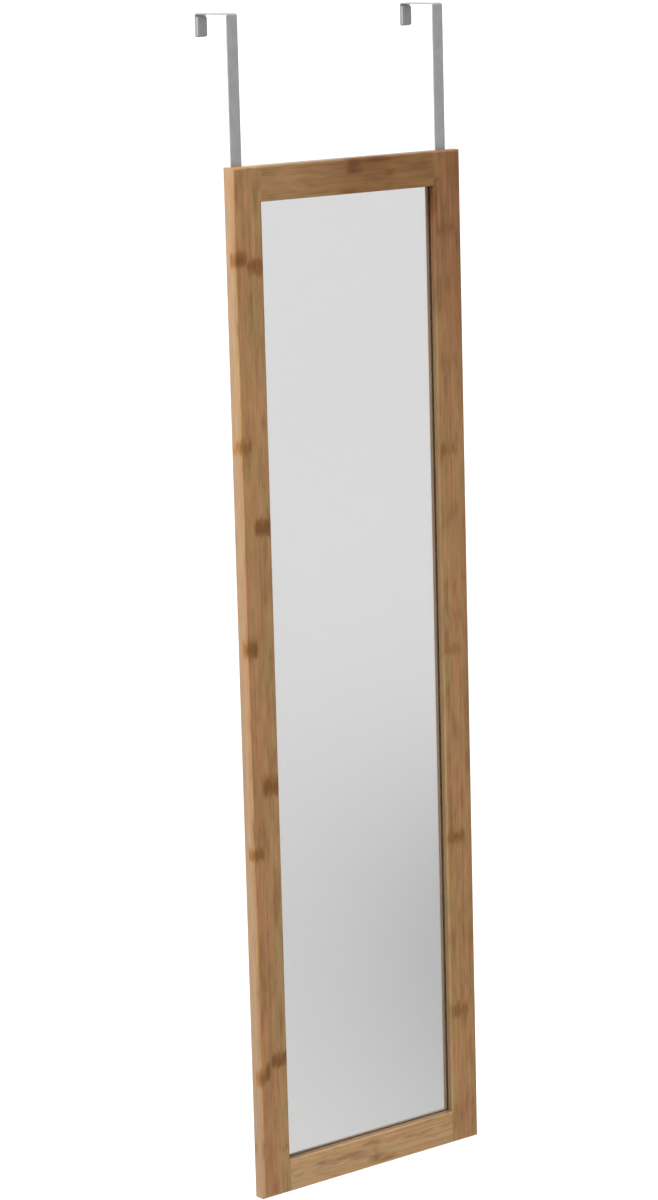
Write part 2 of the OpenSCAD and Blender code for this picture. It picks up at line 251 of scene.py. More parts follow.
    tilt = add(tree, "ShaderNodeMapRange", grain["warmth"], 0.38, 0.62, 0.0, 1.0)
    wood = add(tree, "ShaderNodeMix", tilt, *ground, data_type="RGBA")
    for share, code in (
        (add(tree, "ShaderNodeMapRange", grain["depth"], 0.48, 0.3, 0.0, 0.6), STREAK),
        (add(tree, "ShaderNodeMapRange", grain["depth"], 0.52, 0.7, 0.0, 0.5), FIBRE_LIGHT),
        (add(tree, "ShaderNodeMapRange", grain["streak"], 0.5, 0.28, 0.0, 0.45), STREAK),
        (add(tree, "ShaderNodeMapRange", grain["fibre"], 0.45, 0.7, 0.0, 0.25), FIBRE_LIGHT),
        (add(tree, "ShaderNodeMapRange", grain["fibre"], 0.45, 0.25, 0.0, 0.3), FIBRE_DARK),
        (add(tree, "ShaderNodeMapRange", grain["bundle"], 0.57, 0.72, 0.0, 0.5), FIBRE_DARK),
        (edge, EDGE_GRAIN_AND_SHEEN),
        (rim, SMUDGE_RIM),
        (core, SMUDGE_CORE),
        (glue, FIBRE_DARK),
        (end, FIBRE_DARK),
        (raw_and_painted_light, RAW_CANE_AND_PAINTED_LIGHT),
    ):
        wood = add(tree, "ShaderNodeMix", share, wood, tone(code), data_type="RGBA")
    for low, high, code in drifts:
        drift = add(
            tree, "ShaderNodeMapRange", board["Z"], low, high, 0.0, 1.0, interpolation_type="SMOOTHSTEP"
        )
        wood = add(
            tree, "ShaderNodeMix", drift, wood, tone(code), data_type="RGBA", blend_type="MULTIPLY"
        )

    relief = add(tree, "ShaderNodeMath", glue, -2.0, grain["fibre"], operation="MULTIPLY_ADD")
    relief = add(tree, "ShaderNodeMath", node_and_painted_shade, 0.6, relief, operation="MULTIPLY_ADD")
    bump = add(tree, "ShaderNodeBump", named={"Strength": 0.5, "Distance": 0.06 * MM, "Height": relief})
    rough = add(tree, "ShaderNodeMapRange", grain["fibre"], 0.3, 0.7, 0.5, 0.38)
    shader = add(tree, "ShaderNodeBsdfPrincipled", named={
        "Base Color": wood,
        "Roughness": rough,
        "IOR": 1.5,
        "Specular IOR Level": 0.35,
        "Coat Weight": 0.1,
        "Coat Roughness": 0.28,
        "Normal": bump,
    })
    add(tree, "ShaderNodeOutputMaterial", shader)
    return material


# ---------------------------------------------------------------- the other finishes


def float_glass():
    """Clear 3 mm float glass: colourless and smooth, with a waver too long and low for the eye to find."""
    material, tree, place = begin_finish("float_glass_clear")
    waver = add(tree, "ShaderNodeTexNoise", place, named={"Scale": 0.003 / MM, "Detail": 1.0})
    bump = add(tree, "ShaderNodeBump", named={"Strength": 0.02, "Distance": 0.02 * MM, "Height": waver})
    tint = add(tree, "ShaderNodeMapRange", waver, 0.3, 0.7, 0.0, 1.0)
    shader = add(tree, "ShaderNodeBsdfPrincipled", named={
        "Base Color": add(tree, "ShaderNodeMix", tint, tone("#FDFCFC"), tone("#FDFDFD"), data_type="RGBA"),
        "Roughness": 0.0,
        "IOR": 1.52,
        "Transmission Weight": 1.0,
        "Normal": bump,
    })
    add(tree, "ShaderNodeOutputMaterial", shader)
    return material


def mirror_silver():
    """Silver laid on the glass, bright towards the front, with grey protective paint on its back."""
    material, tree, place = begin_finish("silver_coat_painted_back")
    facing = add(tree, "ShaderNodeSeparateXYZ", add(tree, "ShaderNodeNewGeometry").outputs["Normal"])
    bright = add(tree, "ShaderNodeMath", facing.outputs["Y"], -0.5, operation="LESS_THAN")
    cloud = add(tree, "ShaderNodeTexNoise", place, named={"Scale": 1 / (25 * MM), "Detail": 3.0})
    paint = add(tree, "ShaderNodeMix", cloud, tone("#6F7274"), tone("#7C7F80"), data_type="RGBA")
    shader = add(tree, "ShaderNodeBsdfPrincipled", named={
        "Base Color": add(tree, "ShaderNodeMix", bright, paint, tone("#F4F4F4"), data_type="RGBA"),
        "Metallic": bright,
        "Roughness": add(tree, "ShaderNodeMapRange", bright, 0.0, 1.0, 0.55, 0.0),
    })
    add(tree, "ShaderNodeOutputMaterial", shader)
    return material


def plated_steel(name, shade, scratch, roughness, run):
    """Bright zinc over cold rolled steel: a soft grey metal with faint lines from rolling, run long in mm."""
    material, tree, place = begin_finish(name)
    per_line = (1 / (0.4 * MM), 1 / (4 * MM), 1 / (run * MM))
    rolled = add(tree, "ShaderNodeMapping", place, named={"Scale": per_line})
    lines = add(tree, "ShaderNodeTexNoise", rolled, named={"Scale": 1.0, "Detail": 3.0})
    cloud = add(tree, "ShaderNodeTexNoise", place, named={"Scale": 0.09 / MM, "Detail": 2.0})
    share = add(tree, "ShaderNodeMapRange", cloud, 0.35, 0.65, 0.0, 1.0)
    worn = add(tree, "ShaderNodeMapRange", lines, 0.4, 0.7, 0.0, 0.3)
    metal = add(tree, "ShaderNodeMix", share, tone(shade[0]), tone(shade[1]), data_type="RGBA")
    bump = add(tree, "ShaderNodeBump", named={"Strength": 0.25, "Distance": 0.01 * MM, "Height": lines})
    shader = add(tree, "ShaderNodeBsdfPrincipled", named={
        "Base Color": add(tree, "ShaderNodeMix", worn, metal, tone(scratch), data_type="RGBA"),
        "Metallic": 1.0,
        "Roughness": add(tree, "ShaderNodeMapRange", lines, 0.3, 0.7, roughness - 0.05, roughness + 0.07),
        "Normal": bump,
    })
    add(tree, "ShaderNodeOutputMaterial", shader)
    return material


def closed_cell_foam(name, shade, cell_mm):
    """Cross-linked foam sheet, die-cut: matt, with fine closed cells in its skin, their hollows painted
    darker as painted shade.
    """
    material, tree, place = begin_finish(name)
    cells = add(tree, "ShaderNodeTexVoronoi", place, named={"Scale": 1 / (cell_mm * MM)})
    # The cells' hollows are painted darker than their rims: painted shade.
    rim = add(tree, "ShaderNodeMapRange", cells, 0.1, 0.6, 0.0, 1.0)
    shader = add(tree, "ShaderNodeBsdfPrincipled", named={
        "Base Color": add(tree, "ShaderNodeMix", rim, tone(shade[0]), tone(shade[1]), data_type="RGBA"),
        "Roughness": 0.92,
        "Specular IOR Level": 0.25,
        "Normal": add(tree, "ShaderNodeBump", named={"Strength": 0.6, "Distance": 0.08 * MM, "Height": rim}),
    })
    add(tree, "ShaderNodeOutputMaterial", shader)
    return material


SCREEN_PITCH_MM = 1.8
# A wave texture of scale 1 turns by this many radians in a metre.
WAVE_TURN = 20


def hardboard():
    """Pressed brown fibreboard, with the print of the wire screen that it was pressed on across its back, its
    hollows painted darker as painted shade.
    """
    material, tree, place = begin_finish("hardboard_screen_back")
    felt = add(tree, "ShaderNodeTexNoise", place, named={"Scale": 0.9 / MM, "Detail": 4.0})
    cloud = add(tree, "ShaderNodeTexNoise", place, named={"Scale": 1 / (40 * MM), "Detail": 3.0})
    per_wire = 2 * math.pi / (WAVE_TURN * SCREEN_PITCH_MM * MM)
    wires = [
        add(
            tree, "ShaderNodeTexWave", place, named={"Scale": per_wire, "Distortion": 0.6},
            bands_direction=direction,
        )
        for direction in ("X", "Z")
    ]
    screen = add(tree, "ShaderNodeMath", wires[0], wires[1], operation="MULTIPLY")
    board = add(tree, "ShaderNodeMix", cloud, tone("#6E4B30"), tone("#845E3F"), data_type="RGBA")
    fuzz = add(tree, "ShaderNodeMapRange", felt, 0.35, 0.7, 0.0, 0.6)
    board = add(tree, "ShaderNodeMix", fuzz, board, tone("#A07A55"), data_type="RGBA")
    # The screen print's hollows are painted darker: painted shade.
    screen_hollows_painted_shade = add(tree, "ShaderNodeMapRange", screen, 0.0, 1.0, 0.3, 0.0)
    board = add(tree, "ShaderNodeMix", screen_hollows_painted_shade, board, tone("#4A301D"), data_type="RGBA")
    height = add(tree, "ShaderNodeMath", felt, 0.4, screen, operation="MULTIPLY_ADD")
    bump = add(tree, "ShaderNodeBump", named={"Strength": 0.7, "Distance": 0.2 * MM, "Height": height})
    shader = add(
        tree, "ShaderNodeBsdfPrincipled", named={"Base Color": board, "Roughness": 0.75, "Normal": bump}
    )
    add(tree, "ShaderNodeOutputMaterial", shader)
    return material


def turned_beech():
    """Plain beech dowel rod: pale pinkish wood with short brown flecks along it."""
    material, tree, place = begin_finish("beech_dowel_rod")
    per_fibre = (0.12 / MM, 1.6 / MM, 1.6 / MM)
    grain = add(tree, "ShaderNodeMapping", place, named={"Scale": per_fibre})
    fibre = add(tree, "ShaderNodeTexNoise", grain, named={"Scale": 1.0, "Detail": 3.0})
    fleck = add(tree, "ShaderNodeMapRange", fibre, 0.58, 0.7, 0.0, 0.7)
    wood = add(tree, "ShaderNodeMix", fibre, tone("#C79A6B"), tone("#DDB488"), data_type="RGBA")
    bump = add(tree, "ShaderNodeBump", named={"Strength": 0.3, "Distance": 0.05 * MM, "Height": fibre})
    shader = add(tree, "ShaderNodeBsdfPrincipled", named={
        "Base Color": add(tree, "ShaderNodeMix", fleck, wood, tone("#8C5C36"), data_type="RGBA"),
        "Roughness": 0.65,
        "Normal": bump,
    })
    add(tree, "ShaderNodeOutputMaterial", shader)
    return material


def clear_bumper():
    """Soft clear polyurethane, poured: cloudy and slightly yellow, glossy on top."""
    material, tree, place = begin_finish("polyurethane_clear")
    cloud = add(tree, "ShaderNodeTexNoise", place, named={"Scale": 1 / (2.5 * MM), "Detail": 2.0})
    shader = add(tree, "ShaderNodeBsdfPrincipled", named={
        "Base Color": add(tree, "ShaderNodeMix", cloud, tone("#DCDDD2"), tone("#E8E9E0"), data_type="RGBA"),
        "Roughness": add(tree, "ShaderNodeMapRange", cloud, 0.3, 0.7, 0.15, 0.25),
        "IOR": 1.49,
        "Transmission Weight": 0.6,
    })
    add(tree, "ShaderNodeOutputMaterial", shader)
    return material


# ---------------------------------------------------------------- the frame's own boards

UPRIGHT = (0.0, 0.0, 0.0)
HALF_TURN = (0.0, 0.0, math.pi)
GRAIN_RIGHT = (0.0, -math.pi / 2, 0.0)
GRAIN_LEFT = (0.0, math.pi / 2, 0.0)
LENGTH_MM = FRAME_H / MM
SPAN_MM = FRAME_W / MM
HALF_MM = SPAN_MM / 2
TOP_MM = FRAME_HI.z / MM
BOTTOM_MM = FRAME_LO.z / MM

# Each board in its own millimetres, which turn and start bring it to. grounds holds its strips, each with
# where it begins and the two colours that it moves between. strips holds the front ply's cane nodes, with one
# painted shadow among them, and behind the back ply's: the stretch across the board that they cover and,
# along the grain, each one's place, strength and reach. drifts holds the stretch along the board over which
# it darkens.
BOARDS = {
    "left_stile": dict(
        turn=UPRIGHT,
        start=(HALF_MM, 0.0, -BOTTOM_MM),
        length=LENGTH_MM,
        grounds=((0.0, "#BB8558", "#AA8752"), (15.5, "#B8885C", "#A78E57")),
        strips=(
            (-3.0, 14.5, (
                (382.0, 0.9, 13.0), (603.0, 1.0, 16.0), (814.5, 0.6, 12.0), (1007.0, 1.2, 12.0),
            )),
            (-3.0, 7.0, ((136.0, 0.85, 15.0), (1076.0, 0.25, 22.0))),
            (7.0, 14.5, ((141.0, 1.1, 14.0),)),
            (-3.0, 1.0, ((814.5, 0.4, 12.0),)),
            (26.0, 39.0, ((51.5, 0.5, 2.5), (58.5, 0.5, 2.5))),
            (26.0, 31.0, ((1078.0, 0.4, 5.0),)),
            (15.5, 39.0, (
                (152.0, 1.25, 12.0), (452.9, 1.05, 17.0), (728.5, 1.2, 12.0), (999.0, 1.05, 14.0),
            )),
        ),
        behind=(
            (-3.0, 15.5, ((57.0, 0.6, 11.0), (427.0, 0.3, 14.0), (547.0, 0.3, 12.0), (811.4, 0.65, 12.0))),
            (15.5, 37.0, ((196.0, 0.7, 10.0), (455.0, 0.6, 11.0), (702.0, 0.8, 10.0), (951.0, 0.6, 12.0))),
        ),
        seed=3.0,
    ),
    "right_stile": dict(
        turn=HALF_TURN,
        start=(HALF_MM, 0.0, -BOTTOM_MM),
        length=LENGTH_MM,
        grounds=(
            (0.0, "#B28153", "#A2834E"), (9.0, "#B88558", "#AD8851"), (28.0, "#B6865A", "#AD9053"),
        ),
        strips=(
            (11.0, 36.0, (
                (153.0, 0.6, 14.0), (351.0, 0.75, 13.0), (561.0, 0.42, 11.0), (781.0, 0.5, 12.0),
                (1017.8, 0.42, 12.0),
            )),
            (-3.0, 4.0, (
                (140.0, 0.35, 16.0), (265.0, 0.15, 110.0), (700.0, 0.15, 90.0), (960.0, 0.15, 150.0),
            )),
            (-3.0, 10.0, (
                (260.0, 0.18, 120.0), (520.0, 0.15, 90.0), (700.0, 0.18, 90.0), (950.0, 0.18, 150.0),
            )),
            # Painted shadow: the top rail's shadow darkening the inner edge at the opening's top corner.
            (33.0, 40.0, ((1052.0, 1.0, 36.0),)),
            (28.0, 33.0, ((1070.0, 0.6, 5.0),)),
            (-3.0, 20.0, ((1078.0, 0.3, 22.0),)),
        ),
        behind=(
            (-3.0, 15.0, ((92.0, 0.6, 10.0), (331.0, 0.7, 11.0), (588.0, 0.6, 10.0), (846.0, 0.7, 11.0))),
            (15.0, 37.0, ((215.0, 0.7, 10.0), (468.0, 0.7, 12.0), (730.0, 0.5, 10.0), (984.0, 0.7, 11.0))),
        ),
        seed=7.0,
        drifts=((740.0, 1060.0, "#E0CFC4"),),
    ),
    "top_rail": dict(
        turn=GRAIN_RIGHT,
        start=(TOP_MM, 0.0, HALF_MM),
        length=SPAN_MM,
        grounds=(
            (0.0, "#AD7F56", "#9B7E4C"), (12.0, "#AF7F59", "#9D7E4E"), (22.0, "#AC8056", "#A0844E"),
        ),
        strips=(
            (-1.0, 16.0, ((156.0, 0.8, 14.0),)),
            (-2.0, 16.0, ((183.0, 0.4, 48.0),)),
            (-3.0, 4.0, ((184.0, 0.3, 26.0),)),
            (1.0, 6.0, ((194.0, 0.45, 22.0),)),
            (15.0, 21.0, ((88.0, 0.35, 13.0), (204.0, 0.75, 10.0))),
            (12.0, 33.0, ((138.0, 0.18, 50.0),)),
            (31.0, 37.0, ((151.0, 0.5, 22.0),)),
        ),
        behind=((-3.0, 18.0, ((98.0, 0.6, 10.0),)), (18.0, 37.0, ((207.0, 0.7, 11.0),))),
        seed=11.0,
        drifts=((60.0, 200.0, "#DED2B0"),),
    ),
    "bottom_rail": dict(
        turn=GRAIN_LEFT,
        start=(-BOTTOM_MM, 0.0, HALF_MM),
        length=SPAN_MM,
        grounds=((0.0, "#D1A87A", "#C9AA76"), (19.0, "#D6A87B", "#CBAB73")),
        strips=((6.0, 24.0, ((147.0, 0.35, 9.0),)), (3.5, 8.0, ((150.0, 0.22, 115.0),))),
        behind=((-3.0, 18.0, ((186.0, 0.6, 10.0),)), (18.0, 37.0, ((76.0, 0.7, 11.0),))),
        seed=17.0,
    ),
}

for board_name, board in BOARDS.items():
    nodes[board_name].data.materials.clear()
    nodes[board_name].data.materials.append(laminated_bamboo(f"bamboo_{board_name}", **board))

nodes["mirror_silvering"].data.materials.clear()
nodes["mirror_silvering"].data.materials.append(mirror_silver())
nodes["backing_board"].data.materials.clear()
nodes["backing_board"].data.materials.append(hardboard())

# ---------------------------------------------------------------- making pieces


def new_piece(name, data, replaced, smooth_angle=35):
    """A mesh as a piece that rides on the frame's body and stands for CAD nodes."""
    data.shade_smooth()
    data.set_sharp_from_angle(angle=math.radians(smooth_angle))
    piece = bpy.data.objects.new(name, data)
    bpy.context.scene.collection.objects.link(piece)
    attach(piece, BODY)
    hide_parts(*replaced)
    return piece


def made(name, mesh, material):
    """A bmesh as mesh data with one material."""
    data = bpy.data.meshes.new(name)
    bmesh.ops.recalc_face_normals(mesh, faces=mesh.faces)
    mesh.to_mesh(data)
    mesh.free()
    data.materials.append(material)
    return data


def skin(rings):
    """A closed skin over rings of points, with flat ends."""
    mesh = bmesh.new()
    loops = [[mesh.verts.new(point) for point in ring] for ring in rings]
    for lower, upper in zip(loops, loops[1:]):
        for i in range(len(lower)):
            j = (i + 1) % len(lower)
            mesh.faces.new((lower[i], lower[j], upper[j], upper[i]))
    mesh.faces.new(loops[-1])
    mesh.faces.new(loops[0][::-1])
    return mesh


def rounded_outline(width, height, radius, steps):
    """Points round a rectangle with round corners, anticlockwise, about its middle."""
    points = []
    for number, (side, rise) in enumerate(((1, 1), (-1, 1), (-1, -1), (1, -1))):
        for step in range(steps + 1):
            angle = math.pi / 2 * (number + step / steps)
            points.append((
                side * (width / 2 - radius) + radius * math.cos(angle),
                rise * (height / 2 - radius) + radius * math.sin(angle),
            ))
    return points


def parts_of(name):
    """The boxes of a CAD node's separate solids, from low to high and left to right."""
    mesh = bmesh.new()
    mesh.from_mesh(nodes[name].data)
    bmesh.ops.remove_doubles(mesh, verts=mesh.verts, dist=WELD)
    boxes, seen = [], set()
    for seed in mesh.verts:
        if seed in seen:
            continue
        found, reach = {seed}, [seed]
        while reach:
            vertex = reach.pop()
            for edge in vertex.link_edges:
                other = edge.other_vert(vertex)
                if other not in found:
                    found.add(other)
                    reach.append(other)
        seen |= found
        lo = Vector([min(vertex.co[axis] for vertex in found) for axis in range(3)])
        hi = Vector([max(vertex.co[axis] for vertex in found) for axis in range(3)])
        boxes.append((lo, hi))
    mesh.free()
    return sorted(boxes, key=lambda box: (round(box[0].z, 5), round(box[0].x, 5)))


# ---------------------------------------------------------------- the pane

PANE_AIR = 0.01 * MM
PANE_SEAM = 0.5 * MM


def pane_of_glass():
    """The cut pane with its sharp edges seamed off, and a hair of air between it and the silver and lip."""
    lo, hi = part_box("mirror_glass")
    lo.y += PANE_AIR
    hi.y -= PANE_AIR
    mesh = bmesh.new()
    bmesh.ops.create_cube(mesh, size=1.0)
    bmesh.ops.scale(mesh, verts=mesh.verts, vec=hi - lo)
    bmesh.ops.translate(mesh, verts=mesh.verts, vec=(lo + hi) / 2)
    bmesh.ops.bevel(mesh, geom=mesh.edges, offset=PANE_SEAM, segments=1, affect="EDGES")
    pane = made("mirror_pane", mesh, float_glass())
    new_piece("mirror_pane", pane, ["mirror_glass"], smooth_angle=20)


# ---------------------------------------------------------------- die-cut foam and poured bumpers

CORNER_STEPS = 6
# The die draws a foam block's sides in by this share of its eased edge, at these shares of its depth.
WAIST = 0.15
WAIST_LEVELS = (0.3, 0.6)
# The rings that carry the face's crown to its middle, as shares of its outline.
CROWN_RINGS = (0.8, 0.55, 0.3)


def foam_block(name, box, corner, ease, crown, node, material):
    """Foam stuck on by its back: its sides are drawn in, its front edges soft, and its face crowned."""
    lo, hi = box
    width, depth, height = hi - lo
    outline = rounded_outline(width, height, corner, CORNER_STEPS)
    # Each level is how far out it stands, and how much narrower it is than the block.
    levels = [(0.0, 0.0)]
    for share in WAIST_LEVELS:
        levels.append((share * (depth - ease), WAIST * ease))
    for step in range(CORNER_STEPS + 1):
        angle = math.pi / 2 * step / CORNER_STEPS
        levels.append((depth - crown - ease + ease * math.sin(angle), ease * (1 - math.cos(angle))))
    rings = []
    for out, inset in levels:
        narrow = Vector((1 - 2 * inset / width, 1 - 2 * inset / height))
        rings.append([(x * narrow.x, -out, z * narrow.y) for x, z in outline])
    face = [(x * narrow.x, z * narrow.y) for x, z in outline]
    for share in CROWN_RINGS:
        rise = depth - crown * share**2
        rings.append([(x * share, -rise, z * share) for x, z in face])
    mesh = skin(rings)
    bmesh.ops.translate(mesh, verts=mesh.verts, vec=((lo.x + hi.x) / 2, hi.y, (lo.z + hi.z) / 2))
    piece = new_piece(name, made(name, mesh, material), [node])


# A bumper's side from its base to the middle of its top, as shares of its radius and its height.
BUMPER_PROFILE = (
    (1.0, 0.0), (1.0, 0.12), (0.985, 0.3), (0.95, 0.5), (0.9, 0.66), (0.83, 0.79), (0.74, 0.88), (0.62, 0.94),
    (0.45, 0.975), (0.25, 0.995), (0.08, 1.0),
)
BUMPER_SIDES = 64


def domed_bumper(side, material):
    """A poured bumper: a low dome whose edge stands up straight where its surface tension held it."""
    lo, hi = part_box(f"{side}_bumper")
    rings = []
    for radius, rise in BUMPER_PROFILE:
        reach = radius * (hi.x - lo.x) / 2
        ring = []
        for step in range(BUMPER_SIDES):
            angle = 2 * math.pi * step / BUMPER_SIDES
            ring.append((
                (lo.x + hi.x) / 2 + reach * math.cos(angle),
                lo.y + rise * (hi.y - lo.y),
                (lo.z + hi.z) / 2 + reach * math.sin(angle),
            ))
        rings.append(ring)
    name = f"{side}_domed_bumper"
    new_piece(name, made(name, skin(rings), material), [f"{side}_bumper"])


# ---------------------------------------------------------------- the bent strap hooks

BEND_R = 1.5 * MM
BEND_STEPS = 12
TAB_DROP = 23.0 * MM
TAB_CORNER_R = 2.0 * MM
TAB_CORNER_STEPS = 8
ROUND_END_STEPS = 16
SHEARED_EDGE_R = 0.3 * MM
SHEARED_EDGE_STEPS = 4
COUNTERSINK_D = 6.2 * MM
CLEARANCE_D = 3.2 * MM
DRILL_SIDES = 64
# The drill stands this far past the strip's faces, so that it cuts them cleanly.
DRILL_SPARE = 0.2 * MM


def strap_hook(side, material):
    """Steel strip, sheared, bent twice and countersunk for its screws, its edges softened by tumbling."""
    lo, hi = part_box(f"{side}_hook")
    thick = -lo.y
    middle = (lo.x + hi.x) / 2
    half = (hi.x - lo.x) / 2
    mid_r = BEND_R + thick / 2

    # Stations along the strip's middle: place, the way out of its outer face, and half its width there.
    stations = []
    for step in range(ROUND_END_STEPS + 1):
        along = half * (1 - math.cos(math.pi / 2 * step / ROUND_END_STEPS))
        wide = math.sqrt(half**2 - (half - along) ** 2)
        stations.append(((-thick / 2, lo.z + along), math.pi, max(wide, 2 * SHEARED_EDGE_R)))
    for share in (0.25, 0.5, 0.75):
        rise = lo.z + half + share * (-BEND_R - lo.z - half)
        stations.append(((-thick / 2, rise), math.pi, half))
    for centre, first in ((BEND_R, math.pi), (hi.y - thick - BEND_R, math.pi / 2)):
        for step in range(BEND_STEPS + 1):
            angle = first - math.pi / 2 * step / BEND_STEPS
            place = (centre + mid_r * math.cos(angle), -BEND_R + mid_r * math.sin(angle))
            stations.append((place, angle, half))
    for step in range(TAB_CORNER_STEPS + 1):
        left = TAB_CORNER_R * (1 - math.sin(math.pi / 2 * step / TAB_CORNER_STEPS))
        inset = TAB_CORNER_R - math.sqrt(TAB_CORNER_R**2 - (TAB_CORNER_R - left) ** 2)
        stations.append(((hi.y - thick / 2, left - TAB_DROP), 0.0, half - inset))

    rings = []
    for (depth, height), angle, wide in stations:
        outline = rounded_outline(2 * wide, thick, SHEARED_EDGE_R, SHEARED_EDGE_STEPS)
        rings.append([
            (middle + x, depth + out * math.cos(angle), height + out * math.sin(angle))
            for x, out in outline
        ])
    name = f"{side}_strap_hook"
    strip = bpy.data.objects.new(name, made(name, skin(rings), material))
    bpy.context.scene.collection.objects.link(strip)

    drills = bmesh.new()
    flare = (COUNTERSINK_D - CLEARANCE_D) / 2 / thick * DRILL_SPARE
    for screw_lo, screw_hi in parts_of(f"{side}_hook_screws"):
        place = Vector((middle, -thick / 2, (screw_lo.z + screw_hi.z) / 2))
        bmesh.ops.create_cone(
            drills, cap_ends=True, segments=DRILL_SIDES, depth=thick + 2 * DRILL_SPARE,
            radius1=COUNTERSINK_D / 2 + flare, radius2=CLEARANCE_D / 2 - flare,
            matrix=Matrix.Translation(place) @ Matrix.Rotation(math.pi / 2, 4, "X"),
        )
    drill = bpy.data.objects.new(f"{name}_drill", made(f"{name}_drill", drills, material))
    bpy.context.scene.collection.objects.link(drill)
    cut = strip.modifiers.new("countersinks", "BOOLEAN")
    cut.object = drill
    cut.solver = "EXACT"
    data = bpy.data.meshes.new_from_object(strip.evaluated_get(bpy.context.evaluated_depsgraph_get()))
    bpy.data.objects.remove(strip)
    bpy.data.objects.remove(drill)
    new_piece(name, data, [f"{side}_hook"], smooth_angle=12)


# ---------------------------------------------------------------- screws, points, dowels, by Geometry Nodes

SCREW_SIDES = 40
SCREW_LEVELS = 140
# The thread's ridge slopes from its crest to its foot, at these shares of the pitch to each side of it.
RIDGE_CREST = 0.04
RIDGE_FOOT = 0.26
# The share of the shank's radius that is left at the very tip.
SCREW_POINT = 0.06
# How far each hook's screws, from the lower one up, had turned when they pulled tight.
SCREW_TURNS = {"left": (0.4, 1.5), "right": (0.9, 2.0)}
# A wing of the driver's recess is this many widths long, and narrows to this share at its bottom.
WING_WIDTHS = 5.0
WING_TAPER = 0.45
DOWEL_SIDES = 112
DOWEL_LEVELS = 30
POINT_COLUMNS = 61
POINT_ROWS = 25
# The rib of a retaining point reaches this share of the way to the tongue's edges.
RIB_SHARE = 0.4


def begin_kit(name, sizes):
    """A Geometry Nodes tree that is given points and sizes, all but the counts in metres."""
    kit = bpy.data.node_groups.new(name, "GeometryNodeTree")
    kit.interface.new_socket("Points", in_out="INPUT", socket_type="NodeSocketGeometry")
    for size in sizes:
        kit.interface.new_socket(size, in_out="INPUT", socket_type="NodeSocketFloat")
    kit.interface.new_socket("Material", in_out="INPUT", socket_type="NodeSocketMaterial")
    kit.interface.new_socket("Pieces", in_out="OUTPUT", socket_type="NodeSocketGeometry")
    return kit, add(kit, "NodeGroupInput").outputs


def end_kit(kit, given, shape):
    """Sets the shape on each point, turned by the point's own angles, and gives it its material."""
    angles = add(kit, "GeometryNodeInputNamedAttribute", "turn", data_type="FLOAT_VECTOR")
    turn = add(kit, "FunctionNodeEulerToRotation", angles)
    copies = add(
        kit, "GeometryNodeInstanceOnPoints",
        named={"Points": given["Points"], "Instance": shape, "Rotation": turn},
    )
    solid = add(kit, "GeometryNodeRealizeInstances", copies)
    finished = add(kit, "GeometryNodeSetMaterial", named={"Geometry": solid, "Material": given["Material"]})
    add(kit, "NodeGroupOutput", finished)
    return kit


def use_kit(name, kit, sizes, places, angles, material, node):
    points = bpy.data.meshes.new(f"{name}_places")
    points.from_pydata(places, [], [])
    turn = points.attributes.new("turn", "FLOAT_VECTOR", "POINT")
    for entry, angle in zip(turn.data, angles):
        entry.vector = angle
    holder = bpy.data.objects.new(f"{name}_places", points)
    bpy.context.scene.collection.objects.link(holder)
    maker = holder.modifiers.new(kit.name, "NODES")
    maker.node_group = kit
    for socket in kit.interface.items_tree:
        if socket.name in sizes:
            maker[socket.identifier] = sizes[socket.name]
        elif socket.name == "Material":
            maker[socket.identifier] = material
    data = bpy.data.meshes.new_from_object(holder.evaluated_get(bpy.context.evaluated_depsgraph_get()))
    holder.modifiers.remove(maker)
    bpy.data.objects.remove(holder)
    data.name = name
    new_piece(name, data, [node])


def lathe_start(kit, given, around, along):
    """A rod of radius 1 about Z, with its height above the middle, its angle and its place across."""
    rod = add(
        kit, "GeometryNodeMeshCylinder",
        named={"Vertices": around, "Side Segments": along, "Radius": 1.0, "Depth": given["Length"]},
    )
    place = add(kit, "ShaderNodeSeparateXYZ", add(kit, "GeometryNodeInputPosition")).outputs
    angle = add(kit, "ShaderNodeMath", place["Y"], place["X"], operation="ARCTAN2")
    return rod, place, angle


def lathe_end(kit, rod, place, radius, height):
    """The rod with each point drawn in to a radius and moved to a height."""
    right = add(kit, "ShaderNodeMath", place["X"], radius, operation="MULTIPLY")
    up = add(kit, "ShaderNodeMath", place["Y"], radius, operation="MULTIPLY")
    moved = add(kit, "ShaderNodeCombineXYZ", right, up, height)
    return add(kit, "GeometryNodeSetPosition", named={"Geometry": rod, "Position": moved})


